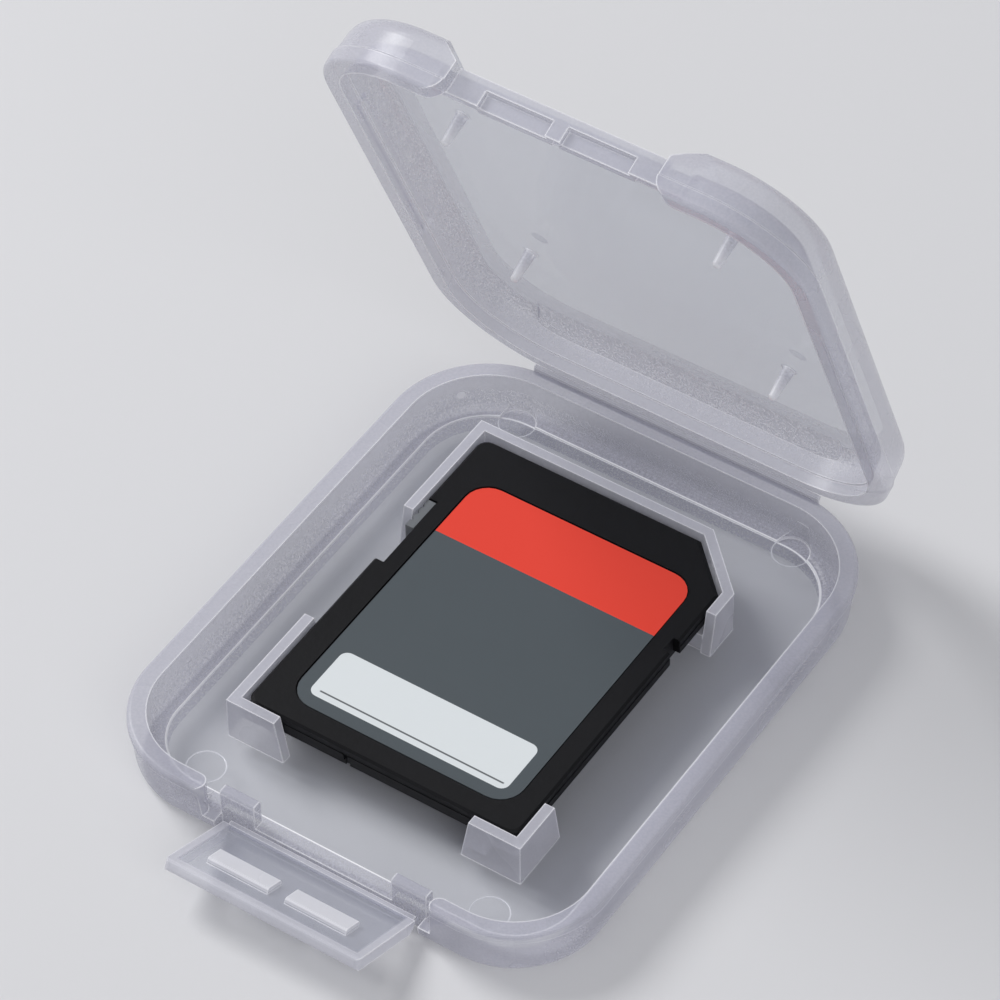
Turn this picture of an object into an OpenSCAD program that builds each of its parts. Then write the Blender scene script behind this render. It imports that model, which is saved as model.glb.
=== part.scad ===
// Pocket case for one memory card: a shallow tray, a lid on a flexing web along the rear edge,
// a snap latch flap on a second web at the front, and the card seated between locating ribs.
// Origin: centre of the tray's underside. +X right, +Y to the lid's hinge, +Z up. Millimetres.
// Drawn half open: lid raised by lid_open from closed, latch flap raised by flap_up from level.

/* [Tray] */
// Widest width of the tray, over the rim band
tray_w = 40.7; // [38:0.1:46]
// Widest depth of the tray, front to rear
tray_d = 49.6; // [47:0.1:56]
// Height from the underside to the rim
tray_h = 4.75; // [4.4:0.05:6]
// Thickness of the floor
floor_t = 1.4; // [1:0.05:1.6]
// Outer corner radius at the front
front_r = 7.8; // [6.5:0.1:9]
// Outer corner radius at the rear
rear_r = 8.6; // [6.5:0.1:9.4]
// Radius of the underside's outer edge
foot_r = 1.15; // [0.6:0.05:1.3]
// Lean of the outer wall
wall_draft = 5; // [1:0.5:8]
// Height of the band round the rim
band_h = 0.8; // [0.6:0.05:1.1]
// How far the band stands out of the wall
band_out = 0.14; // [0.05:0.01:0.25]
// Rounding of the rim's outer edge
rim_r = 0.35; // [0.2:0.05:0.5]
// Width of the flat rim
rim_land = 1.15; // [0.9:0.05:1.4]
// Lean of the inner wall
inner_draft = 6; // [1:0.5:8]
// Fillet between the inner wall and the floor
toe_r = 1.1; // [0.6:0.05:1.4]
// Height of the fine step round the clear window
window_step = 0.12; // [0.05:0.01:0.2]
// Ejector mark diameter
eject_d = 3; // [2:0.1:4]
// Ejector marks, half spacing across
eject_x = 12.6; // [11.8:0.1:13.2]
// Rear ejector marks, distance in from the rear
eject_rear = 3.1; // [2.8:0.1:3.6]
// Front ejector marks, distance in from the front
eject_front = 4.4; // [4:0.1:5]

/* [Card] */
// Card width
card_w = 24; // [23:0.1:25]
// Card length
card_l = 32; // [31:0.1:33]
// Card thickness
card_t = 2.1; // [1.9:0.05:2.3]
// Thickness of the upper half of the casing
top_t = 0.7; // [0.6:0.05:0.8]
// How far the upper half stands in from the lower one
top_in = 0.05; // [0.03:0.01:0.08]
// Thickness of the full width rail of the lower half
rail_t = 0.7; // [0.6:0.05:0.8]
// Corner cut beside the contacts
card_cut = 4; // [3:0.1:4.5]
// Radius of the square corners
card_r = 0.9; // [0.4:0.1:1.5]
// Bevel of the casing's edges
card_bevel = 0.18; // [0.1:0.01:0.25]
// How far the underside stands in at the sides
lower_in_x = 0.7; // [0.4:0.05:0.9]
// How far the underside stands in at the ends
lower_in_y = 0.3; // [0.2:0.05:0.6]
// Top and bottom skin of the casing
skin_t = 0.42; // [0.35:0.01:0.5]
// Casing side wall
casing_wall = 1.15; // [1:0.05:1.4]
// Start of the lock recess, from the contact end
lock_from = 7.7; // [7.4:0.1:8]
// Length of the lock recess
lock_len = 7.4; // [7:0.1:8]
// Depth of the lock recess
lock_depth = 0.9; // [0.7:0.05:0.95]
// Length of the lock slider
slider_l = 3.1; // [2.8:0.1:3.4]
// Clearance of the slider in its recess
slider_gap = 0.1; // [0.06:0.01:0.15]
// Guide slot behind the lock recess, shorter at each end by
slot_in = 0.9; // [0.7:0.05:1.1]
// Depth of the guide slot behind the lock recess
slot_deep = 0.4; // [0.3:0.05:0.45]
// Height of the guide slot
slot_h = 0.5; // [0.4:0.05:0.55]
// Length of the slider's tongue
tongue_l = 0.7; // [0.5:0.05:1]
// Depth of the small side notch
side_notch = 0.6; // [0.3:0.05:0.7]
// Side notch, centre from the contact end
side_notch_at = 10.3; // [9.5:0.1:11]
// Side notch width
side_notch_w = 1.4; // [1:0.1:1.6]
// Upright slot in the front end, distance left of the middle
front_slot_x = 3; // [2:0.1:4]
// Upright slot in the front end, width
front_slot_w = 0.35; // [0.25:0.05:0.5]
// Upright slot in the front end, depth
front_slot_d = 0.6; // [0.5:0.05:0.8]

/* [Card inner parts] */
// Circuit board thickness
board_t = 0.4; // [0.3:0.05:0.45]
// Contact thickness
contact_t = 0.06; // [0.04:0.01:0.08]
// Contact spacing
contact_pitch = 2.5; // [2.3:0.05:2.6]
// Contact width
contact_w = 1.6; // [1.3:0.05:1.8]
// Contact length
contact_l = 4.2; // [3.5:0.1:5]
// Thickness of the chips
chip_t = 0.55; // [0.4:0.05:0.6]
// Controller side length
controller_s = 6.5; // [5:0.1:8]
// Memory chip width
memory_w = 14; // [11:0.1:16]
// Memory chip length
memory_l = 12; // [9:0.1:13]
// Air between the inner parts and the casing
inner_gap = 0.03; // [0.02:0.01:0.05]

/* [Label] */
// Label width
label_w = 19.7; // [18.8:0.1:21]
// Label length
label_l = 26; // [24:0.1:27]
// Middle of the label, towards the front of the card
label_fwd = 1; // [0.4:0.1:1.4]
// Middle of the label, to the right
label_side = 0.2; // [0:0.05:0.3]
// Label corner radius
label_r = 2; // [1.2:0.1:2.4]
// Label thickness
label_t = 0.08; // [0.05:0.01:0.1]
// Depth of the recess that holds the label
label_sink = 0.14; // [0.12:0.01:0.2]
// Border between the label and its recess
label_gap = 0.12; // [0.08:0.01:0.2]
// Length of the red zone
red_l = 6.2; // [5:0.1:8]
// Length of the white writing strip
write_l = 4.9; // [4:0.1:6]
// Width of the writing strip
write_w = 17.5; // [15:0.1:17.8]
// Grey border in front of the writing strip
write_from = 1.1; // [0.8:0.1:1.5]
// Corner radius of the writing strip
write_r = 0.7; // [0.4:0.1:1]

/* [Locating ribs] */
// Rib thickness
rib_t = 0.85; // [0.6:0.05:1]
// Rise of the ribs over the card
rib_rise = 0.2; // [0.1:0.05:0.3]
// Side clearance of the card
side_gap = 0.15; // [0.1:0.05:0.25]
// End clearance of the card at the front
front_gap = 0.15; // [0.1:0.05:0.25]
// End clearance of the card at the rear
rear_gap = 0.4; // [0.2:0.05:0.5]
// Height of the pads that hold the card off the floor
pad_rise = 1.7; // [1.4:0.05:1.9]
// Pad size
pad_s = 2.8; // [2.2:0.1:3.2]
// Slack between the card and its pads
pad_gap = 0.02; // [0.01:0.01:0.05]
// How much longer the ribs are at the floor
rib_flare = 0.7; // [0.2:0.05:1]
// Rear rib, left arm length from the outer corner
rear_arm_left = 10.8; // [8:0.1:13]
// Rear rib, right arm length from the outer corner
rear_arm_right = 7.4; // [6:0.1:9]
// Front left rib, side arm length
fl_arm_side = 10.2; // [8:0.1:12]
// Front left rib, front arm length
fl_arm_front = 4.3; // [3.4:0.1:6]
// Front right rib, side arm length
fr_arm_side = 4.6; // [3.4:0.1:6]
// Front right rib, front arm length
fr_arm_front = 4.5; // [3.4:0.1:6]

/* [Lid] */
// How far the lid stands over the tray at each side
lid_over = 0.05; // [0:0.01:0.15]
// How far the lid stands over the tray at the front
lid_longer = 0.15; // [0:0.05:0.3]
// Height of the lid
lid_h = 4.65; // [4.3:0.05:5.5]
// Thickness of the lid's plate
plate_t = 1.3; // [1:0.05:1.5]
// Lid corner radius at the front
lid_front_r = 8; // [6.5:0.1:9]
// Lid corner radius at the rear
lid_rear_r = 9.2; // [6.5:0.1:9.6]
// Radius of the lid's top edge
crown_r = 1.7; // [1:0.05:2]
// Height of the band round the lid's rim
lid_band_h = 1.4; // [1:0.05:1.7]
// How far the band stands out
lid_band_out = 0.12; // [0.05:0.01:0.25]
// Width of the flat rim
lid_land = 1.2; // [0.9:0.05:1.4]
// Depth of the fine inner step below the rim
lid_step_h = 1; // [0.8:0.05:1.3]
// Width of the fine inner step
lid_step = 0.15; // [0.08:0.01:0.25]
// Fillet between the wall and the plate
lid_toe_r = 1; // [0.6:0.05:1.2]
// Half spacing of the hold down pins
pin_x = 11.45; // [10.5:0.05:11.6]
// Rear pins, distance from the lid's rear
pin_rear = 15.6; // [12:0.1:18]
// Front pins, distance from the lid's rear
pin_front = 38.5; // [34:0.1:40]
// Pin diameter at its root
pin_d = 1.05; // [0.8:0.05:1.2]
// Pin diameter at its tip
pin_tip_d = 0.66; // [0.5:0.02:0.76]
// Air between pins and card when closed
pin_gap = 0.18; // [0.1:0.01:0.3]
// Length of the rear stiffening ledge
ledge_l = 27.5; // [20:0.5:30]
// How far the ledge reaches over the plate
ledge_s = 1.8; // [1:0.1:2.4]
// Height of the ledge
ledge_h = 0.95; // [0.6:0.05:1.2]
// Length of the grip strip on the left side
grip_l = 21; // [16:0.5:24]
// Start of the grip strip, from the lid's rear
grip_from = 15; // [12:0.5:18]
// Width of the grip strip
grip_h = 1.1; // [0.8:0.1:1.3]
// Height of the grip strip
grip_out = 0.3; // [0.15:0.05:0.35]

/* [Lid hinge] */
// Distance of the hinge line behind the tray
hinge_out = 0.2; // [0.18:0.01:0.3]
// Air between the two rims when closed
rim_gap = 0.06; // [0.04:0.01:0.1]
// Diameter of the flexing bead on the hinge line
web_d = 0.34; // [0.3:0.01:0.36]
// Thickness of the web's skirt on the tray
web_t = 0.17; // [0.12:0.01:0.18]
// Depth of the skirt
web_skirt = 0.75; // [0.6:0.05:0.9]
// Length of the rear web
web_l = 26.1; // [20:0.1:30]
// Opening angle of the lid as drawn
lid_open = 67; // [0:1:100]

/* [Latch] */
// Width of the flap
flap_w = 17; // [15:0.1:17.2]
// Length of the flap from its hinge line
flap_l = 7.9; // [7:0.1:8.2]
// Thickness of the flap
flap_t = 1.1; // [0.9:0.05:1.2]
// Corner radius of the flap's free edge
flap_r = 0.4; // [0.2:0.1:1]
// Height of the flap's hinge line over the underside
flap_z = 1; // [0.95:0.05:1.2]
// Distance of the hinge line from the recess face
flap_y = 0.45; // [0.4:0.01:0.6]
// Air between the closed flap and the case
flap_gap = 0.1; // [0.06:0.01:0.2]
// Start of the flap's plate, from its hinge line
flap_from = 0.25; // [0.22:0.01:0.4]
// Chamfer of the snap bars
bar_edge = 0.14; // [0.05:0.01:0.2]
// Snap bar start, from the hinge line
bar_from = 4.2; // [3.9:0.1:4.5]
// Snap bar height along the flap
bar_h = 1.8; // [1.4:0.1:2]
// Snap bar length
bar_l = 5.35; // [4.5:0.05:6]
// Half spacing of the two snap bars
bar_x = 3.42; // [3:0.01:3.6]
// How far a snap bar stands out
bar_out = 0.5; // [0.3:0.05:0.55]
// Air round a snap bar in its pocket
bar_gap = 0.12; // [0.08:0.01:0.2]
// Depth of the front recess
recess_in = 1.4; // [1.3:0.05:1.5]
// Width of the recess in the tray
recess_w = 18; // [17.6:0.1:18.6]
// Width of the recess in the lid's rim
lid_recess_w = 17.6; // [17.4:0.1:18.2]
// Width of the notch in the tray's front wall
notch_w = 21.4; // [20.6:0.1:22]
// Radius of the rounded wall ends beside the notch
nose_r = 0.75; // [0.6:0.05:0.8]
// Width of the middle gap between the stub walls
gap_w = 12.1; // [10:0.1:13]
// Thickness of the stub walls
stub_t = 0.9; // [0.7:0.05:1.1]
// Height of the stub walls over the floor
stub_h = 2.5; // [1.5:0.05:2.8]
// Outer end of each stub wall, from the middle
stub_to = 9.1; // [8.6:0.1:9.4]
// Rounding of the stub walls' top edges
stub_r = 0.25; // [0.15:0.05:0.4]
// Wall behind the lid's recess
recess_wall = 1; // [0.9:0.05:1.2]
// How far the wall behind the recess stays short of the rim
recess_short = 1.05; // [0.8:0.05:1.2]
// How far the back of a snap pocket stands in from that wall
lump_out = 0.45; // [0.3:0.05:0.6]
// Wall round a snap pocket
lump_wall = 0.35; // [0.25:0.05:0.5]
// Length of the finger scoop that runs from the recess to the lid's top
scoop_l = 4.6; // [3.6:0.1:5]
// Root of the wall behind the recess, along the plate
root_s = 1.2; // [0.8:0.1:1.4]
// Root of the wall behind the recess, down the wall
root_t = 0.9; // [0.6:0.1:1]
// Rounding of the rim's corners beside the recess
lobe_r = 1.5; // [1:0.1:1.6]
// Height of the lid's recess over the rim
lid_recess_h = 3.1; // [2.9:0.05:3.2]
// Opening angle of the flap above level as drawn
flap_up = 23; // [0:1:90]
// Diameter of the flexing bead on the flap's hinge line
flap_web_d = 0.3; // [0.24:0.01:0.34]
// Length of the front web
flap_web_l = 16.4; // [12:0.1:16.8]

/* [Hidden] */
$fn = 48;
eps = 0.01;
big = 60;
hw = tray_w / 2;
hd = tray_d / 2;
// inner wall of the tray: where its fillet meets the floor
tray_toe_z = floor_t + window_step + toe_r * (1 - sin(inner_draft));
rim_in = rim_r + rim_land;
toe_at = rim_in + (tray_h - tray_toe_z) * tan(inner_draft) + toe_r * cos(inner_draft);
// card and ribs
card_z = floor_t + pad_rise + pad_gap;
card_top = card_z + card_t;
seam_z = card_top - top_t;
rib_h = card_top + rib_rise - floor_t;
rib_x = card_w / 2 + side_gap;
rib_yf = card_l / 2 + front_gap;
rib_yr = card_l / 2 + rear_gap;
// lid frame: hinge line at the origin, front of the closed lid along -Y
hinge_y = hd + hinge_out;
hinge_z = tray_h + rim_gap / 2;
lid_hw = hw + lid_over;
lid_hd = hd + lid_longer / 2;
lid_mid = -(hinge_out + lid_hd);
lid_z0 = rim_gap / 2;
plate_in = lid_h - plate_t;
lid_rim_in = rim_r + lid_land;
lid_toe_z = plate_in - lid_toe_r * (1 - sin(inner_draft));
lid_toe_at = lid_rim_in + lid_step + (lid_toe_z - lid_step_h) * tan(inner_draft)
    + lid_toe_r * cos(inner_draft);
// latch
recess_y = hd - recess_in;
fold_y = recess_y + flap_y;
flap_in = flap_y - flap_gap;
lid_recess_y = -(hinge_y + recess_y);
bar_z = flap_z + bar_from - hinge_z;

function arc(c, r, a0, a1, n) = [for (i = [0:n]) c + r * [cos(a0 + (a1 - a0) * i / n),
    sin(a0 + (a1 - a0) * i / n)]];

module both() {
    children();
    mirror([1, 0, 0]) children();
}

// Wall outline of the tray in section: x inward from the widest outline, y up
module tray_section() {
    foot = foot_r * (1 - sin(wall_draft));
    cx = band_out + (tray_h - band_h - foot) * tan(wall_draft) + foot_r * cos(wall_draft);
    polygon(concat(
        arc([cx, foot_r], foot_r, 270, 180 + wall_draft, 7),
        [[band_out, tray_h - band_h], [0, tray_h - band_h + band_out]],
        arc([rim_r, tray_h - rim_r], rim_r, 180, 90, 4),
        [[rim_in, tray_h]],
        arc([toe_at, floor_t + window_step + toe_r], toe_r, 180 + inner_draft, 270, 6),
        [[toe_at, 0]]));
}

// Wall outline of the lid in section: x inward from the widest outline, y from the rim to the plate
module lid_section() {
    crown = lid_h - crown_r * (1 - sin(wall_draft));
    cx = lid_band_out + (crown - lid_band_h) * tan(wall_draft) + crown_r * cos(wall_draft);
    polygon(concat(
        [[lid_rim_in, 0]],
        arc([rim_r, rim_r], rim_r, 270, 180, 4),
        [[0, lid_band_h - lid_band_out], [lid_band_out, lid_band_h]],
        arc([cx, lid_h - crown_r], crown_r, 180 - wall_draft, 90, 8),
        [[lid_toe_at, lid_h]],
        arc([lid_toe_at, plate_in - lid_toe_r], lid_toe_r, 90, 180 - inner_draft, 6),
        [[lid_rim_in + lid_step, lid_step_h], [lid_rim_in, lid_step_h]]));
}

// Runs a wall section round a plan with its own front and rear corner radii
module run_round(w, d, rf, rr) {
    both() {
        translate([-w, d - rr, 0]) rotate([90, 0, 0]) linear_extrude(2 * d - rf - rr) children();
        translate([rf - w, rf - d, 0]) rotate([0, 0, 180]) rotate_extrude(angle = 90)
            translate([rf, 0]) mirror([1, 0]) children();
        translate([rr - w, d - rr, 0]) rotate([0, 0, 90]) rotate_extrude(angle = 90)
            translate([rr, 0]) mirror([1, 0]) children();
    }
    translate([rf - w, -d, 0]) rotate([90, 0, 90]) linear_extrude(2 * (w - rf)) children();
    translate([rr - w, d, 0]) mirror([0, 1, 0]) rotate([90, 0, 90]) linear_extrude(2 * (w - rr)) children();
}

// Flat plan of the same outline, set in by q
module plan(w, d, rf, rr, q) {
    translate([rf - w, q - d]) square([2 * (w - rf), 2 * d - rr - q]);
    translate([rr - w, rf - d]) square([2 * (w - rr), 2 * d - rf - q]);
    translate([q - w, rf - d]) square([2 * (w - q), 2 * d - rf - rr]);
    for (k = [-1, 1]) {
        translate([k * (w - rf), rf - d]) circle(rf - q);
        translate([k * (w - rr), d - rr]) circle(rr - q);
    }
}

// Extrudes a (Y, Z) section along X, centred
module along_x(l) {
    translate([-l / 2, 0, 0]) rotate([90, 0, 90]) linear_extrude(l) children();
}

// Bar along X with chamfered long edges, thickness towards +Y
module edged_bar(l, h, t, e) {
    along_x(l) polygon([[0, -h / 2], [t - e, -h / 2], [t, e - h / 2], [t, h / 2 - e], [t - e, h / 2],
        [0, h / 2]]);
}

// Rib arm towards -Y, its outer face on x = 0, its end longer at the floor
module arm(l) {
    rotate([90, 0, 90]) linear_extrude(rib_t)
        polygon([[0, 0], [-l - rib_flare, 0], [-l, rib_h], [0, rib_h]]);
}

// Rib arm towards +X, its outer face on y = 0
module cross_arm(l) {
    translate([0, rib_t, 0]) rotate([90, 0, 0]) linear_extrude(rib_t)
        polygon([[0, 0], [l + rib_flare, 0], [l, rib_h], [0, rib_h]]);
}

// Plan of the card's casing, set in by q
module card_plan(q, in_x = 0, in_y = 0) {
    x = card_w / 2 - in_x - q;
    y = card_l / 2 - in_y - q;
    r = card_r;
    c = card_cut + q * 0.6;
    polygon(concat(arc([r - x, r - y], r, 180, 270, 4), arc([x - r, r - y], r, 270, 360, 4),
        [[x, y - c], [x - c, y]], arc([r - x, y - r], r, 90, 180, 4)));
}

module ribs() {
    xo = rib_x + rib_t;
    yr = rib_yr + rib_t;
    yf = rib_yf + rib_t;
    // corner cut of the rear rib, following the card's cut corner
    ci = card_cut + rear_gap - side_gap;
    co = ci + 0.6 * rib_t;
    translate([0, 0, floor_t]) {
        translate([-xo, yr, 0]) arm(rear_arm_left);
        translate([xo, yr - co, 0]) mirror([1, 0, 0]) arm(rear_arm_right - co);
        linear_extrude(rib_h) polygon([[-xo, yr], [xo - co, yr], [xo, yr - co], [xo, yr - co - rib_t],
            [rib_x, yr - co - rib_t], [rib_x, rib_yr - ci], [rib_x - ci, rib_yr], [-xo, rib_yr]]);
        translate([-xo, -yf, 0]) mirror([0, 1, 0]) arm(fl_arm_side);
        translate([xo, -yf, 0]) mirror([1, 0, 0]) mirror([0, 1, 0]) arm(fr_arm_side);
        translate([-xo, -yf, 0]) cross_arm(fl_arm_front);
        translate([xo, -yf, 0]) mirror([1, 0, 0]) cross_arm(fr_arm_front);
        both() translate([-rib_x - eps, -rib_yf - eps, 0]) cube([pad_s, pad_s, pad_rise]);
        translate([-rib_x - eps, rib_yr - pad_s, 0]) cube([pad_s, pad_s + eps, pad_rise]);
        translate([rib_x - pad_s + eps, rib_yr - ci - pad_s, 0]) cube([pad_s, pad_s, pad_rise]);
    }
}

module base_tray() color("Lavender", 0.6) {
    difference() {
        union() {
            run_round(hw, hd, front_r, rear_r) tray_section();
            linear_extrude(floor_t) plan(hw, hd, front_r, rear_r, toe_at - 0.4);
        }
        // front notch down to the floor's border, and the recess that takes the closed flap
        translate([-notch_w / 2, -hd - 1, floor_t + window_step]) cube([notch_w, hd + 1 - (hd - toe_at), big]);
        translate([-recess_w / 2, -hd - 1, -1]) cube([recess_w, hd + 1 - recess_y, big]);
        // flat round ejector marks at the foot of the wall
        both() {
            translate([-eject_x, hd - eject_rear, floor_t - 0.05]) cylinder(d = eject_d, h = 2);
            translate([-eject_x, -hd + eject_front, floor_t - 0.05]) cylinder(d = eject_d, h = 2);
        }
    }
    ribs();
    // rounded ends of the wall beside the notch
    both() intersection() {
        translate([notch_w / 2 - 1, -hd, 0]) rotate([90, 0, 90]) linear_extrude(1.2) tray_section();
        translate([notch_w / 2, -hd + nose_r, floor_t - 0.2]) cylinder(r = nose_r, h = big);
    }
    // low stub walls either side of the middle gap
    both() translate([gap_w / 2, -recess_y, floor_t]) rotate([90, 0, 90]) linear_extrude(stub_to - gap_w / 2)
        polygon(concat([[0, -0.2], [stub_t, -0.2]], arc([stub_t - stub_r, stub_h - stub_r], stub_r, 0, 90, 4),
            arc([stub_r, stub_h - stub_r], stub_r, 90, 180, 4)));
}

// Lid in its hinge frame, closed
module lid_closed() {
    difference() {
        union() {
            translate([0, lid_mid, lid_z0]) {
                run_round(lid_hw, lid_hd, lid_front_r, lid_rear_r) lid_section();
                translate([0, 0, plate_in]) linear_extrude(plate_t)
                    plan(lid_hw, lid_hd, lid_front_r, lid_rear_r, lid_toe_at - 0.4);
            }
            // wall behind the recess, with lumps behind the snap pockets
            translate([0, lid_recess_y, lid_z0]) {
                along_x(lid_recess_w + 3) polygon([[bar_edge, recess_short], [recess_wall, recess_short],
                    [recess_wall, plate_in - root_t], [recess_wall + root_s, plate_in + 0.1],
                    [0, plate_in + 0.1], [0, recess_short + bar_edge]]);
                top = bar_z + bar_h + bar_gap + lump_wall - lid_z0;
                back = recess_wall + lump_out;
                both() translate([bar_x, 0, 0]) along_x(bar_l + 2 * (bar_gap + lump_wall))
                    polygon([[recess_wall - 0.1, recess_short], [back - bar_edge, recess_short],
                        [back, recess_short + bar_edge], [back, top - bar_edge], [back - bar_edge, top],
                        [recess_wall - 0.1, top]]);
            }
        }
        recess_cut();
        both() translate([bar_x, lid_recess_y - 1, bar_z + bar_h / 2])
            edged_bar(bar_l + 2 * bar_gap, bar_h + 2 * bar_gap, 1 + bar_out + bar_gap - flap_gap, bar_edge);
    }
    // pins that hold the card down
    pin_len = plate_in + lid_z0 - (card_top + pin_gap - hinge_z);
    both() for (y = [pin_rear, pin_front])
        translate([pin_x, -hinge_out - y, plate_in + lid_z0 + 0.1]) mirror([0, 0, 1]) {
            cylinder(d1 = pin_d, d2 = pin_tip_d, h = pin_len + 0.1 - pin_tip_d * 0.3);
            translate([0, 0, pin_len + 0.1 - pin_tip_d / 2]) sphere(d = pin_tip_d);
        }
    // stiffening ledge between the rear wall and the plate
    translate([0, -hinge_out - lid_toe_at, lid_z0 + plate_in]) along_x(ledge_l)
        polygon([[1, 0.2], [-ledge_s, 0.2], [-ledge_s, 0], [1, -ledge_h]]);
    // grip strip on the left side wall
    translate([-lid_hw + lid_band_out - grip_out, -grip_from - grip_l, lid_z0 + lid_band_h + 0.25])
        cube([grip_out + 0.6, grip_l, grip_h]);
}

// Front recess of the lid: outer face upright, then a scoop up to the lid's top, ends flared
module recess_cut() {
    h = lid_z0 + lid_recess_h;
    intersection() {
        along_x(big) polygon([[lid_recess_y, -1], [lid_recess_y, h],
            [lid_recess_y + 1.2 * scoop_l, h + 1.2 * (lid_h - lid_recess_h)],
            [lid_recess_y - 5, h + 1.2 * (lid_h - lid_recess_h)], [lid_recess_y - 5, -1]]);
        translate([0, big / 2 - hinge_y, 0]) rotate([90, 0, 0]) linear_extrude(big) both() {
            w = lid_recess_w / 2;
            polygon(concat([[-eps, -1], [w + lobe_r, -1]],
                arc([w + lobe_r, lid_z0 + lobe_r], lobe_r, 270, 180, 6),
                [[w, h - 0.1], [w + 1.75, h + 1.1], [w + 2.3, h + 3], [-eps, h + 3]]));
        }
    }
}

module lid() color("Lavender", 0.6)
    translate([0, hinge_y, hinge_z]) rotate([-lid_open, 0, 0]) lid_closed();

// Flap in its hinge frame, closed: inner face towards +Y
module flap_closed() {
    o = flap_in - flap_t;
    intersection() {
        along_x(flap_w) polygon(concat(
            [[flap_in, flap_from], [flap_in, flap_l - 0.3]],
            arc([flap_in - 0.3, flap_l - 0.3], 0.3, 0, 90, 3),
            arc([o + 0.5, flap_l - 0.5], 0.5, 90, 180, 5),
            [[o, flap_from + 0.5], [o + 0.45, flap_from]]));
        translate([0, 5, 0]) rotate([90, 0, 0]) linear_extrude(10) {
            translate([-flap_w / 2, 0]) square([flap_w, flap_l - flap_r]);
            translate([-flap_w / 2 + flap_r, 0]) square([flap_w - 2 * flap_r, flap_l]);
            for (k = [-1, 1]) translate([k * (flap_w / 2 - flap_r), flap_l - flap_r]) circle(flap_r);
        }
    }
    both() translate([bar_x, flap_in - 0.1, bar_from + bar_h / 2])
        edged_bar(bar_l, bar_h, bar_out + 0.1, bar_edge);
}

module latch_flap() color("Lavender", 0.6)
    translate([0, -fold_y, flap_z]) rotate([90 - flap_up, 0, 0]) flap_closed();

// Flexing web behind the tray: a skirt on the wall with a bead on the hinge line
module lid_hinge_web() color("Lavender", 0.8) translate([0, hinge_y, hinge_z]) {
    translate([-web_l / 2, 0, 0]) rotate([0, 90, 0]) cylinder(d = web_d, h = web_l);
    translate([-web_l / 2, -hinge_out + 0.01, -web_skirt]) cube([web_l, web_t, web_skirt]);
}

// Flexing web under the flap: a strip from the recess face to the fold line
module latch_hinge_web() color("Lavender", 0.8) translate([0, -fold_y, flap_z]) {
    translate([-flap_web_l / 2, 0, 0]) rotate([0, 90, 0]) cylinder(d = flap_web_d, h = flap_web_l);
    translate([-flap_web_l / 2, 0, -flap_web_d / 2 + 0.02]) cube([flap_web_l, flap_y - 0.01, flap_web_d - 0.04]);
}

module lock_recess() {
    translate([-card_w / 2 - 1, card_l / 2 - lock_from - lock_len, 0]) cube([1 + lock_depth, lock_len, big]);
}

// Guide slot of the lock slider behind its recess, open at the seam
module lock_slot() {
    translate([-card_w / 2, card_l / 2 - lock_from - lock_len + slot_in, seam_z - slot_h])
        cube([lock_depth + slot_deep, lock_len - 2 * slot_in, big]);
}

module side_notch_cut() {
    translate([card_w / 2 - side_notch, card_l / 2 - side_notch_at - side_notch_w / 2, 0])
        cube([2, side_notch_w, big]);
}

module card_top_shell() color("DimGray") difference() {
    union() {
        translate([0, 0, seam_z]) linear_extrude(top_t - card_bevel) card_plan(top_in);
        hull() {
            translate([0, 0, card_top - card_bevel - eps]) linear_extrude(eps) card_plan(top_in);
            translate([0, 0, card_top - eps]) linear_extrude(eps) card_plan(top_in + card_bevel);
        }
    }
    translate([0, 0, card_top - label_sink]) linear_extrude(1) label_plan(-label_gap);
    // inside
    translate([0, 0, seam_z - eps]) linear_extrude(top_t - skin_t + eps) card_plan(casing_wall + 0.4);
    lock_recess();
    side_notch_cut();
}

module card_bottom_shell() color("DimGray") difference() {
    union() {
        translate([0, 0, card_z]) linear_extrude(card_t - top_t - 0.01) card_plan(0, lower_in_x, lower_in_y);
        translate([0, 0, seam_z - rail_t]) linear_extrude(rail_t - 0.01) card_plan(0);
    }
    // room for the board and the chips
    translate([0, 0, card_z + skin_t - contact_t]) linear_extrude(card_t) card_plan(casing_wall + 0.4);
    lock_recess();
    lock_slot();
    side_notch_cut();
    translate([-front_slot_x - front_slot_w / 2, -card_l / 2 - 1, 0])
        cube([front_slot_w, 1 + front_slot_d, big]);
    // windows over the contacts
    for (i = [0:7]) translate([contact_at(i) - contact_w / 2 - 0.2, card_l / 2 - 6.2, card_z - 1])
        cube([contact_w + 0.4, contact_l + 0.4, 2]);
}

function contact_at(i) = (i - 4) * contact_pitch;

module card_lock_slider() color("Silver") {
    y = card_l / 2 - lock_from - slider_gap - slider_l / 2;
    difference() {
        union() {
            translate([-card_w / 2 + 0.05, y - slider_l / 2, card_z + 0.12])
                cube([lock_depth - 0.05 - slider_gap, slider_l, card_t - 0.24]);
            translate([-card_w / 2 + 0.3, y - tongue_l / 2, seam_z - slot_h + slider_gap])
                cube([lock_depth + slot_deep - slider_gap - 0.3, tongue_l, slot_h - 2 * slider_gap]);
        }
        // finger grooves
        for (i = [-1, 0, 1]) translate([-card_w / 2 + 0.05, y + i * 0.75, 0])
            cylinder(d = 0.35, h = big, $fn = 24);
    }
}

module card_circuit_board() color("SeaGreen")
    translate([0, 0, card_z + skin_t]) linear_extrude(board_t) card_plan(casing_wall + 0.4 + inner_gap);

module card_contacts() color("Gold") for (i = [0:7])
    translate([contact_at(i) - contact_w / 2, card_l / 2 - 6, card_z + skin_t - contact_t])
        cube([contact_w, contact_l, contact_t]);

module card_controller_chip() color("DarkSlateGray")
    translate([-controller_s / 2, 2.6, card_z + skin_t + board_t]) cube([controller_s, controller_s, chip_t]);

module card_memory_chip() color("DarkSlateGray")
    translate([-memory_w / 2, -12.4, card_z + skin_t + board_t]) cube([memory_w, memory_l, chip_t]);

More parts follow.
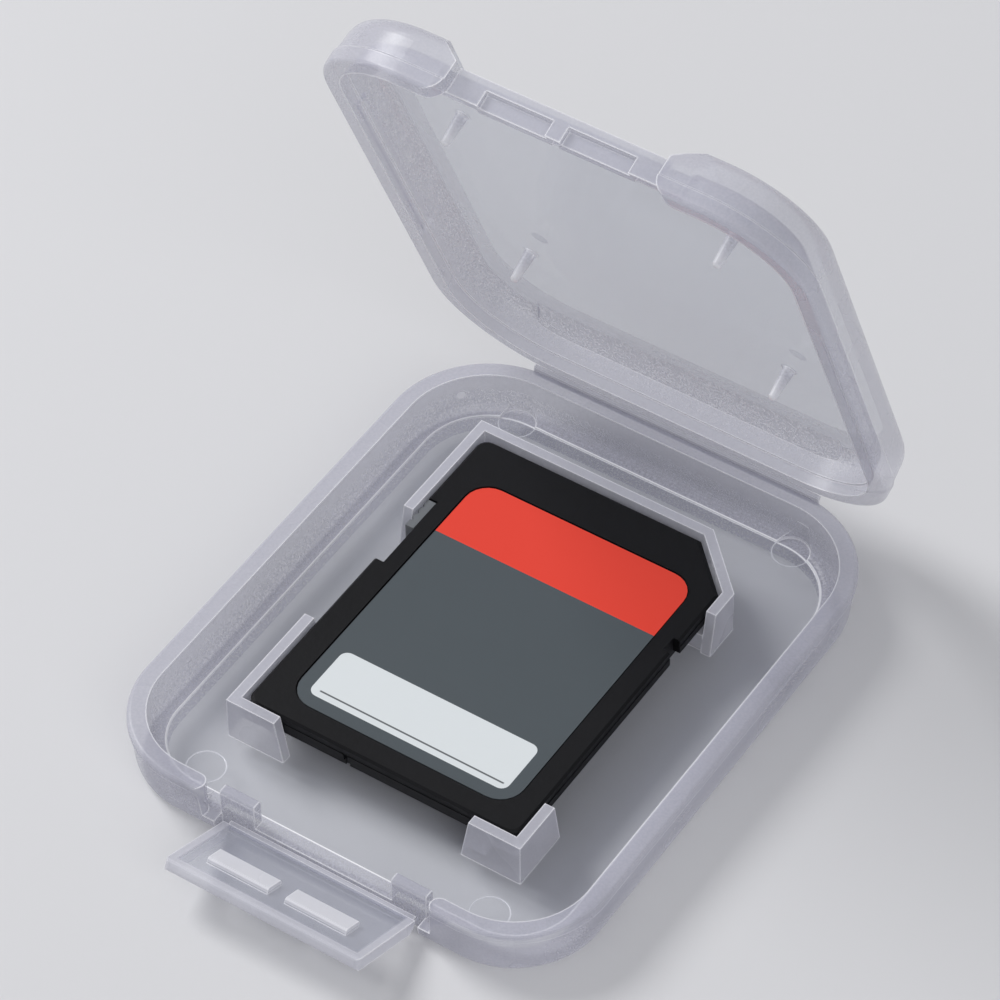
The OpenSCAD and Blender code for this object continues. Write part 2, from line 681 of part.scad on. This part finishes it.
// Rectangle with round corners, centred
function rounded(x, y, r) = concat(arc([r - x, r - y], r, 180, 270, 6), arc([x - r, r - y], r, 270, 360, 6),
    arc([x - r, y - r], r, 0, 90, 6), arc([r - x, y - r], r, 90, 180, 6));

// Outline of the label, grown by -q
module label_plan(q) translate([label_side, -label_fwd])
    polygon(rounded(label_w / 2 - q, label_l / 2 - q, label_r - q));

// Outline of the writing strip, inset in the grey field
module write_plan() translate([label_side, -label_fwd - label_l / 2 + write_from + write_l / 2])
    polygon(rounded(write_w / 2, write_l / 2, write_r));

// Printed layer of the label
module label_layer() translate([0, 0, card_top - label_sink]) linear_extrude(label_t) children();

module across(y0, y1) translate([-big / 2, y0]) square([big, y1 - y0]);

label_top = label_l / 2 - label_fwd;

module label_red_band() color("FireBrick") label_layer() intersection() {
    label_plan(0);
    across(label_top - red_l, big);
}

module label_grey_field() color("SlateGray") label_layer() difference() {
    label_plan(0);
    across(label_top - red_l, big);
    write_plan();
}

module label_write_strip() color("WhiteSmoke") label_layer() write_plan();

base_tray();
lid();
latch_flap();
lid_hinge_web();
latch_hinge_web();
card_top_shell();
card_bottom_shell();
card_lock_slider();
card_circuit_board();
card_contacts();
card_controller_chip();
card_memory_chip();
label_red_band();
label_grey_field();
label_write_strip();
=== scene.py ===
# Memory card case in milky translucent plastic, half open, with a black card seated in its tray.
# Metres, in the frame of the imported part: X right, Y to the lid's hinge, Z up.
# Names that end in _mm are millimetres, and so are the places on the moulding, which match the part's own sizes.
import math

import bpy
from mathutils import Matrix, Vector

MM = 0.001
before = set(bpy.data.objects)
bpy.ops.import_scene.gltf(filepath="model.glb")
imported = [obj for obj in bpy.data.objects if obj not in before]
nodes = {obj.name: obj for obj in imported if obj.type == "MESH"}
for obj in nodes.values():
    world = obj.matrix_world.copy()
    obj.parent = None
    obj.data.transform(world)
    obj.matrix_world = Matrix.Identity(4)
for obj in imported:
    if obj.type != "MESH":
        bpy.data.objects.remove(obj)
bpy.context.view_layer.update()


def linear(code):
    """Scene colour of a six digit screen colour."""
    parts = [int(code[i:i + 2], 16) / 255 for i in (0, 2, 4)]
    return tuple(p / 12.92 if p <= 0.04045 else ((p + 0.055) / 1.055) ** 2.4 for p in parts) + (1.0,)


# Small helpers that place shader nodes and join them.

def feed(tree, socket, value):
    """Sets a socket to a number or colour, or links another socket to it."""
    if isinstance(value, bpy.types.NodeSocket):
        tree.links.new(value, socket)
    elif value is not None:
        socket.default_value = value


def maths(tree, operation, a, b=None):
    node = tree.nodes.new("ShaderNodeMath")
    node.operation = operation
    feed(tree, node.inputs[0], a)
    feed(tree, node.inputs[1], b)
    return node.outputs[0]


def product(tree, first, *others):
    for other in others:
        first = maths(tree, "MULTIPLY", first, other)
    return first


def largest(tree, first, *others):
    for other in others:
        first = maths(tree, "MAXIMUM", first, other)
    return first


def one_less(tree, value):
    return maths(tree, "SUBTRACT", 1.0, value)


def size_of(tree, value):
    return maths(tree, "ABSOLUTE", value)


def length(tree, a, b):
    """Length of a flat step of a along one axis and b along the other."""
    squares = [maths(tree, "MULTIPLY", step, step) for step in (a, b)]
    return maths(tree, "SQRT", maths(tree, "ADD", *squares))


def ramp(tree, value, low, high, out_low=0.0, out_high=1.0):
    """Straight ramp, held level outside its ends."""
    node = tree.nodes.new("ShaderNodeMapRange")
    for label, number in (("From Min", low), ("From Max", high), ("To Min", out_low), ("To Max", out_high)):
        feed(tree, node.inputs[label], number)
    feed(tree, node.inputs["Value"], value)
    return node.outputs["Result"]


def above(tree, value, level, soft):
    """One above the level, with a soft border."""
    return ramp(tree, value, level - soft / 2, level + soft / 2)


def below(tree, value, level, soft):
    """One below the level, with a soft border."""
    return ramp(tree, value, level - soft / 2, level + soft / 2, 1.0, 0.0)


def line(tree, value, at, half):
    """One where the value is within half of at."""
    away = size_of(tree, maths(tree, "SUBTRACT", value, at))
    return below(tree, away, half, half * 0.8)


def blend(tree, factor, a, b):
    """Number that goes from a to b with the factor."""
    node = tree.nodes.new("ShaderNodeMix")
    node.data_type = "FLOAT"
    for socket, value in zip((node.inputs[0], node.inputs[2], node.inputs[3]), (factor, a, b)):
        feed(tree, socket, value)
    return node.outputs[0]


def tint(tree, factor, a, b):
    """Colour that goes from a to b with the factor."""
    node = tree.nodes.new("ShaderNodeMix")
    node.data_type = "RGBA"
    for socket, value in zip((node.inputs[0], node.inputs[6], node.inputs[7]), (factor, a, b)):
        feed(tree, socket, value)
    return node.outputs[2]


def apart(tree, vector):
    node = tree.nodes.new("ShaderNodeSeparateXYZ")
    feed(tree, node.inputs[0], vector)
    return node.outputs


def bump(tree, shader, height, strength, distance_mm):
    node = tree.nodes.new("ShaderNodeBump")
    node.inputs["Strength"].default_value = strength
    node.inputs["Distance"].default_value = distance_mm * MM
    feed(tree, node.inputs["Height"], height)
    feed(tree, shader.inputs["Normal"], node.outputs["Normal"])


def material(name, **values):
    """New material with one Principled shader and the given plain values."""
    mat = bpy.data.materials.new(name)
    mat.use_nodes = True
    shader = mat.node_tree.nodes["Principled BSDF"]
    for label, value in values.items():
        shader.inputs[label.replace("_", " ")].default_value = value
    return mat, mat.node_tree, shader


def effect(name, inputs, outputs):
    """Empty shared effect with the named sockets; returns it with its two end nodes."""
    tree = bpy.data.node_groups.new(name, "ShaderNodeTree")
    for label, kind, value in inputs:
        socket = tree.interface.new_socket(label, in_out="INPUT", socket_type=kind)
        if value is not None:
            socket.default_value = value
    for label in outputs:
        tree.interface.new_socket(label, in_out="OUTPUT", socket_type="NodeSocketFloat")
    return tree, tree.nodes.new("NodeGroupInput"), tree.nodes.new("NodeGroupOutput")


def place_effect(tree, group, **values):
    node = tree.nodes.new("ShaderNodeGroup")
    node.node_tree = group
    for label, value in values.items():
        feed(tree, node.inputs[label.replace("_", " ")], value)
    return node.outputs


NUMBER, POINT = "NodeSocketFloat", "NodeSocketVector"


def moulded_finish():
    """Fine speckle of a spark-worn mould and the soft flow marks of the plastic."""
    tree, start, end = effect("moulded_finish", [("Speckle Scale", NUMBER, 900.0), ("Flow Scale", NUMBER, 60.0)],
                              ["Speckle", "Flow"])
    place = tree.nodes.new("ShaderNodeTexCoord")
    for scale, detail, result in (("Speckle Scale", 2.0, "Speckle"), ("Flow Scale", 3.0, "Flow")):
        noise = tree.nodes.new("ShaderNodeTexNoise")
        noise.inputs["Detail"].default_value = detail
        feed(tree, noise.inputs["Vector"], place.outputs["Object"])
        feed(tree, noise.inputs["Scale"], start.outputs[scale])
        feed(tree, end.inputs[result], noise.outputs["Fac"])
    return tree


def outline_distance():
    """Distance in millimetres outside a flat outline with round corners, negative inside it."""
    tree, start, end = effect(
        "outline_distance",
        [("Place", POINT, None), ("Half Width", NUMBER, 17.5), ("Half Depth", NUMBER, 22.0),
         ("Front Radius", NUMBER, 5.0), ("Rear Radius", NUMBER, 5.0)], ["Distance"])
    x, y, _ = apart(tree, start.outputs["Place"])
    rear = maths(tree, "GREATER_THAN", y, 0.0)
    radius = blend(tree, rear, start.outputs["Front Radius"], start.outputs["Rear Radius"])
    reach = []
    for axis, half in ((x, "Half Width"), (y, "Half Depth")):
        straight = maths(tree, "SUBTRACT", start.outputs[half], radius)
        reach.append(maths(tree, "SUBTRACT", size_of(tree, axis), straight))
    corner = length(tree, *[maths(tree, "MAXIMUM", r, 0.0) for r in reach])
    within = maths(tree, "MINIMUM", largest(tree, *reach), 0.0)
    feed(tree, end.inputs["Distance"], maths(tree, "SUBTRACT", maths(tree, "ADD", corner, within), radius))
    return tree


BEVEL_RAYS = 6
EDGE_TURN = (0.97, 0.8)  # cosine of the turn at which an edge starts to show, and at which it is full


def painted_edge_highlights():
    """Mask of painted highlight: one along the edges of a piece, where the milky plastic gathers light; width in
    millimetres.
    """
    tree, start, end = effect("painted_edge_highlights", [("Width", NUMBER, 0.2)], ["Edge"])
    round_off = tree.nodes.new("ShaderNodeBevel")
    round_off.samples = BEVEL_RAYS
    feed(tree, round_off.inputs["Radius"], maths(tree, "MULTIPLY", start.outputs["Width"], MM))
    surface = tree.nodes.new("ShaderNodeNewGeometry")
    compare = tree.nodes.new("ShaderNodeVectorMath")
    compare.operation = "DOT_PRODUCT"
    feed(tree, compare.inputs[0], round_off.outputs[0])
    feed(tree, compare.inputs[1], surface.outputs["True Normal"])
    feed(tree, end.inputs["Edge"], ramp(tree, compare.outputs["Value"], *EDGE_TURN))
    return tree


finish_group = moulded_finish()
outline_group = outline_distance()
edge_highlight_group = painted_edge_highlights()


def place_mm(tree, origin_mm=(0, 0, 0), turn=0.0):
    """Point on the piece in millimetres, in the closed frame of a lid or flap turned about X at its hinge."""
    coords = tree.nodes.new("ShaderNodeTexCoord")
    node = tree.nodes.new("ShaderNodeMapping")
    node.inputs["Scale"].default_value = (1000, 1000, 1000)
    node.inputs["Rotation"].default_value = (turn, 0, 0)
    node.inputs["Location"].default_value = -(Matrix.Rotation(turn, 3, "X") @ Vector(origin_mm))
    feed(tree, node.inputs["Vector"], coords.outputs["Object"])
    return node.outputs["Vector"]


# Places on the moulding, in millimetres. Those of the lid and the flap are in their own closed frames.
LID_HINGE, LID_TURN = (0, 25.0, 4.78), math.radians(67)
FLAP_HINGE, FLAP_TURN = (0, -23.85, 1.0), math.radians(-67)
TRAY_WINDOW = {"Half_Width": 17.52, "Half_Depth": 21.97, "Front_Radius": 4.97, "Rear_Radius": 5.77}
LID_WINDOW = {"Half_Width": 17.55, "Half_Depth": 22.0, "Front_Radius": 5.15, "Rear_Radius": 6.35}
LID_MIDDLE = (0, -25.075, 0)
FLOOR_UNDER, FLOOR_TOP, STEP_TOP = 1.325, 1.45, 1.61
TRAY_WALL, LID_WALL = 1.6, 1.1  # how far out of the window the inner faces of the walls reach
TRAY_FROST_TOP, LID_FROST_TOP = 3.35, 1.25
RIB_SIDE, RIB_FOOT = -0.25, 1.5
EJECTOR_X, EJECTOR_Y, EJECTOR_RADIUS = 12.6, (21.7, -20.4), 1.5
PIPS = (((-17.68, 3.8, 1.9), 0.35), ((-16.93, 20.37, 3.06), 0.5))
PLATE_UNDER, PLATE_FACE, PLATE_INSIDE = 3.225, 3.355, 3.61
LATCH_RECESS_Y = -45.75
PIN_X, PIN_Y, PIN_RADIUS, PIN_TIP, PIN_ROOT = 11.45, (-15.8, -38.7), 0.725, 1.2, 3.2
FLAP_BORDER_X, FLAP_BORDER_Z, BAR_FOOT = 7.85, 7.15, 0.46

# The milky plastic of tray, lid, flap and webs. Each surface lets part of the light through:
# least along its edges, less where the mould is frosted, most in the polished windows.
MILK = linear("c3c3d0")
# Near-white colour of the painted highlight along edges and on the other lit marks.
MILK_EDGE_HIGHLIGHT = linear("fafafd")
FROSTED, EDGE = 0.42, 0.92  # how much a frosted face and a bright edge hide
EDGE_WIDTH = 0.28
SMOOTH_SPECKLE, FROST_SPECKLE = 0.02, 0.16
WINDOW_ROUGHNESS = 0.08


def milky(name, marks_of, haze, haze_colour, origin_mm=(0, 0, 0), turn=0.0):
    """marks_of takes the tree and the point and returns the clear mask, the mask of painted highlight and the
    grainy mask;
    haze is how much a polished window still hides, and haze_colour its tint."""
    mat, tree, shader = material(name, IOR=1.49)
    finish = place_effect(tree, finish_group, Speckle_Scale=5200.0, Flow_Scale=90.0)
    clear, bright, grain = marks_of(tree, place_mm(tree, origin_mm, turn))
    frosted = one_less(tree, clear)
    edge = place_effect(tree, edge_highlight_group, Width=EDGE_WIDTH)["Edge"]
    # Painted highlight: the edges and the lit marks of each piece. There the plastic also hides more of what
    # lies behind.
    lit = largest(tree, edge, bright)
    dots = ramp(tree, finish["Speckle"], 0.35, 0.65, -1.0, 1.0)
    frost = product(tree, dots, blend(tree, grain, SMOOTH_SPECKLE, FROST_SPECKLE), frosted)
    veil = maths(tree, "ADD", blend(tree, clear, FROSTED, haze), frost)
    feed(tree, shader.inputs["Alpha"], blend(tree, lit, veil, EDGE))
    # Lit places are painted towards white as highlight.
    feed(tree, shader.inputs["Base Color"], tint(tree, lit, tint(tree, clear, MILK, haze_colour), MILK_EDGE_HIGHLIGHT))
    rough = ramp(tree, finish["Flow"], 0.3, 0.7, 0.22, 0.32)
    feed(tree, shader.inputs["Roughness"], blend(tree, clear, rough, WINDOW_ROUGHNESS))
    bump(tree, shader, product(tree, finish["Speckle"], frosted), 0.12, 0.03)
    return mat


def polished(tree, distance):
    """One inside the outline of a window."""
    return ramp(tree, distance, -0.05, 0.03, 1.0, 0.0)


def tray_marks(tree, point):
    """Polished floor inside the fine step; the walls and the ribs that stand on it stay frosted."""
    x, y, z = apart(tree, point)
    distance = place_effect(tree, outline_group, Place=point, **TRAY_WINDOW)["Distance"]
    clear = product(tree, polished(tree, distance), below(tree, z, FLOOR_TOP, 0.02))
    # Painted highlight: thin lines along the fine step and round the ejector holes, dots on the pips, and a
    # lighter tone on the ribs.
    rings = line(tree, distance, 0.04, 0.09)
    aside = maths(tree, "SUBTRACT", size_of(tree, x), EJECTOR_X)
    for centre in EJECTOR_Y:
        reach = length(tree, aside, maths(tree, "SUBTRACT", y, centre))
        rings = largest(tree, rings, product(tree, line(tree, reach, EJECTOR_RADIUS, 0.06), 0.6))
    bright = product(tree, rings, below(tree, z, STEP_TOP, 0.02), above(tree, z, FLOOR_UNDER, 0.05))
    for pip, reach in PIPS:
        gap = tree.nodes.new("ShaderNodeVectorMath")
        gap.operation = "DISTANCE"
        feed(tree, gap.inputs[0], point)
        gap.inputs[1].default_value = pip
        bright = largest(tree, bright, ramp(tree, gap.outputs["Value"], reach - 0.08, reach, 0.9, 0.0))
    ribs = product(tree, ramp(tree, distance, RIB_SIDE - 0.05, RIB_SIDE + 0.05, 0.3, 0.0),
                   above(tree, z, RIB_FOOT, 0.1))
    grain = product(tree, below(tree, z, TRAY_FROST_TOP, 0.5), below(tree, distance, TRAY_WALL, 0.2),
                    above(tree, distance, -0.05, 0.1))
    return clear, largest(tree, bright, ribs), grain


def pin_marks(tree, x, y, z):
    """The four pins, painted whiter as highlight, most towards their tips."""
    aside = maths(tree, "SUBTRACT", size_of(tree, x), PIN_X)
    found = 0.0
    for centre in PIN_Y:
        reach = length(tree, aside, maths(tree, "SUBTRACT", y, centre))
        found = largest(tree, found, below(tree, reach, PIN_RADIUS, 0.05))
    return product(tree, found, ramp(tree, z, PIN_TIP, PIN_ROOT, 0.9, 0.25))


def lid_marks(tree, point):
    """Polished plate inside the wall's fillet."""
    x, y, z = apart(tree, point)
    centred = tree.nodes.new("ShaderNodeVectorMath")
    centred.operation = "SUBTRACT"
    centred.inputs[1].default_value = LID_MIDDLE
    feed(tree, centred.inputs[0], point)
    distance = place_effect(tree, outline_group, Place=centred.outputs[0], **LID_WINDOW)["Distance"]
    clear = product(tree, polished(tree, distance), above(tree, z, PLATE_FACE, 0.03))
    inside = below(tree, z, PLATE_INSIDE, 0.02)
    # Painted highlight line along the fillet at the plate's edge.
    fillet = product(tree, line(tree, distance, 0.0, 0.07), 0.5, inside, above(tree, z, PLATE_UNDER, 0.05))
    grain = product(tree, above(tree, z, LID_FROST_TOP, 0.5), inside, below(tree, distance, LID_WALL, 0.2),
                    above(tree, y, LATCH_RECESS_Y, 0.5))
    return clear, largest(tree, fillet, pin_marks(tree, x, y, z)), grain


def flap_marks(tree, point):
    """Thin clear plate whose border and snap bars are less clear and painted brighter as highlight."""
    x, y, z = apart(tree, point)
    side = above(tree, size_of(tree, x), FLAP_BORDER_X, 0.2)
    border = largest(tree, side, above(tree, z, FLAP_BORDER_Z, 0.2))
    bars = above(tree, y, BAR_FOOT, 0.08)
    clear = product(tree, one_less(tree, largest(tree, border, bars)), 0.6)
    return clear, largest(tree, product(tree, border, 0.35), product(tree, bars, 0.7)), 0.0


def web_marks(tree, point):
    return 0.0, 0.3, 0.0


def plain_plastic(name, colour, roughness, speckle, strength, gloss=0.5):
    """Opaque moulded or printed surface."""
    mat, tree, shader = material(name, Base_Color=colour, IOR=1.5, Specular_IOR_Level=gloss)
    marks = place_effect(tree, finish_group, Speckle_Scale=speckle, Flow_Scale=80.0)
    rough = ramp(tree, marks["Flow"], 0.3, 0.7, roughness - 0.05, roughness + 0.06)
    feed(tree, shader.inputs["Roughness"], rough)
    bump(tree, shader, marks["Speckle"], strength, 0.04)
    return mat


FILM_WHITE, RULE_GREY = linear("dde2e3"), linear("56595c")
RULE_X, RULE_Y, RULE_HALF_LENGTH, RULE_HALF_WIDTH = 0.35, -12.3, 8.15, 0.07


def ruled_film():
    """White film of the writing strip with one printed rule near its front edge."""
    mat = plain_plastic("white_film", FILM_WHITE, 0.5, 2400.0, 0.04, 0.3)
    tree = mat.node_tree
    x, y, _ = apart(tree, place_mm(tree))
    across = below(tree, size_of(tree, maths(tree, "SUBTRACT", x, RULE_X)), RULE_HALF_LENGTH, 0.1)
    along = below(tree, size_of(tree, maths(tree, "SUBTRACT", y, RULE_Y)), RULE_HALF_WIDTH, 0.06)
    colour = tint(tree, product(tree, across, along), FILM_WHITE, RULE_GREY)
    feed(tree, tree.nodes["Principled BSDF"].inputs["Base Color"], colour)
    return mat


def gilt():
    """Plated contacts of the card."""
    mat, tree, shader = material("gilt_contacts", Base_Color=(0.83, 0.6, 0.2, 1), Metallic=1.0)
    marks = place_effect(tree, finish_group, Speckle_Scale=1500.0, Flow_Scale=300.0)
    feed(tree, shader.inputs["Roughness"], ramp(tree, marks["Flow"], 0.3, 0.7, 0.22, 0.38))
    return mat


tray_plastic = milky("milky_tray", tray_marks, 0.14, linear("b4b9c8"))
lid_plastic = milky("milky_lid", lid_marks, 0.23, linear("9aa4bf"), LID_HINGE, LID_TURN)
flap_plastic = milky("milky_flap", flap_marks, 0.2, linear("aab0c2"), FLAP_HINGE, FLAP_TURN)
web_plastic = milky("milky_web", web_marks, 0.3, linear("b4b9c8"))
black_casing = plain_plastic("black_casing", (0.004, 0.004, 0.005, 1), 0.5, 3200.0, 0.3, 0.22)
chip_resin = plain_plastic("chip_resin", (0.02, 0.02, 0.022, 1), 0.55, 2600.0, 0.3)
finishes = {
    "base_tray": tray_plastic, "lid": lid_plastic, "latch_flap": flap_plastic,
    "lid_hinge_web": web_plastic, "latch_hinge_web": web_plastic,
    "card_top_shell": black_casing, "card_bottom_shell": black_casing,
    "card_lock_slider": plain_plastic("grey_slider", linear("6d7073"), 0.4, 2500.0, 0.2),
    "card_circuit_board": plain_plastic("green_board", (0.02, 0.12, 0.045, 1), 0.45, 1800.0, 0.2),
    "card_contacts": gilt(),
    "card_controller_chip": chip_resin, "card_memory_chip": chip_resin,
    "label_red_band": plain_plastic("red_film", linear("e84636"), 0.45, 2400.0, 0.04, 0.22),
    "label_grey_field": plain_plastic("grey_film", linear("50575b"), 0.5, 2400.0, 0.04, 0.22),
    "label_write_strip": ruled_film(),
}
for name, node in nodes.items():
    node.data.materials.clear()
    node.data.materials.append(finishes[name])


# Room: one sheet of pale paper, two soft lamps and a soft sky.

def sheet(name, width, depth, rise, bend, centre):
    """Floor that turns up into a backdrop behind the case."""
    steps = 16
    profile = [(-depth / 2, 0.0), (depth / 2, 0.0)]
    for i in range(1, steps + 1):
        a = math.pi / 2 * i / steps
        profile.append((depth / 2 + bend * math.sin(a), bend * (1 - math.cos(a))))
    profile.append((depth / 2 + bend, rise))
    verts = [(x, y, z) for x in (-width / 2, width / 2) for y, z in profile]
    n = len(profile)
    mesh = bpy.data.meshes.new(name)
    mesh.from_pydata(verts, [], [(i, i + 1, n + i + 1, n + i) for i in range(n - 1)])
    obj = bpy.data.objects.new(name, mesh)
    bpy.context.collection.objects.link(obj)
    obj.location = centre
    for face in mesh.polygons:
        face.use_smooth = True
    return obj


floor = sheet("floor", 3.0, 1.6, 1.5, 0.25, (0, 0, -0.01 * MM))
floor.data.materials.append(material("pale_floor", Base_Color=(0.68, 0.68, 0.69, 1), Roughness=0.7)[0])


def lamp(name, position, target, size, power):
    data = bpy.data.lights.new(name, "AREA")
    data.shape = "DISK"
    data.size = size
    data.energy = power
    obj = bpy.data.objects.new(name, data)
    bpy.context.collection.objects.link(obj)
    obj.location = position
    obj.rotation_euler = (Vector(target) - Vector(position)).to_track_quat("-Z", "Y").to_euler()


lamp("key_lamp", (-0.62, 0.05, 0.62), (0, 0, 0), 0.4, 5.6)
lamp("fill_lamp", (0.6, -0.4, 0.5), (0, 0, 0), 0.6, 1.9)
world = bpy.data.worlds.new("studio")
world.use_nodes = True
sky = world.node_tree.nodes["Background"]
sky.inputs["Color"].default_value = (0.93, 0.94, 1.0, 1)
sky.inputs["Strength"].default_value = 0.37
bpy.context.scene.world = world

# Camera, over the front right corner of the case.
AZIMUTH, ELEVATION, ROLL = math.radians(33.67), math.radians(47.05), math.radians(-0.43)
AIM = Vector((-7.22, 11.08, 5.22)) * MM
DISTANCE = 382.2 * MM
back = Vector((math.sin(AZIMUTH) * math.cos(ELEVATION), -math.cos(AZIMUTH) * math.cos(ELEVATION),
               math.sin(ELEVATION)))
right = Vector((math.cos(AZIMUTH), math.sin(AZIMUTH), 0))
up = back.cross(right)
rolled_right = right * math.cos(ROLL) + up * math.sin(ROLL)
rolled_up = up * math.cos(ROLL) - right * math.sin(ROLL)
camera_data = bpy.data.cameras.new("camera")
camera_data.lens = 179.24
camera_data.sensor_width = 36
camera_data.clip_start = 0.01
camera = bpy.data.objects.new("camera", camera_data)
bpy.context.collection.objects.link(camera)
turned = Matrix((rolled_right, rolled_up, back)).transposed().to_4x4()
camera.matrix_world = Matrix.Translation(AIM + back * DISTANCE) @ turned
bpy.context.scene.camera = camera
bpy.context.scene.view_settings.view_transform = "Standard"
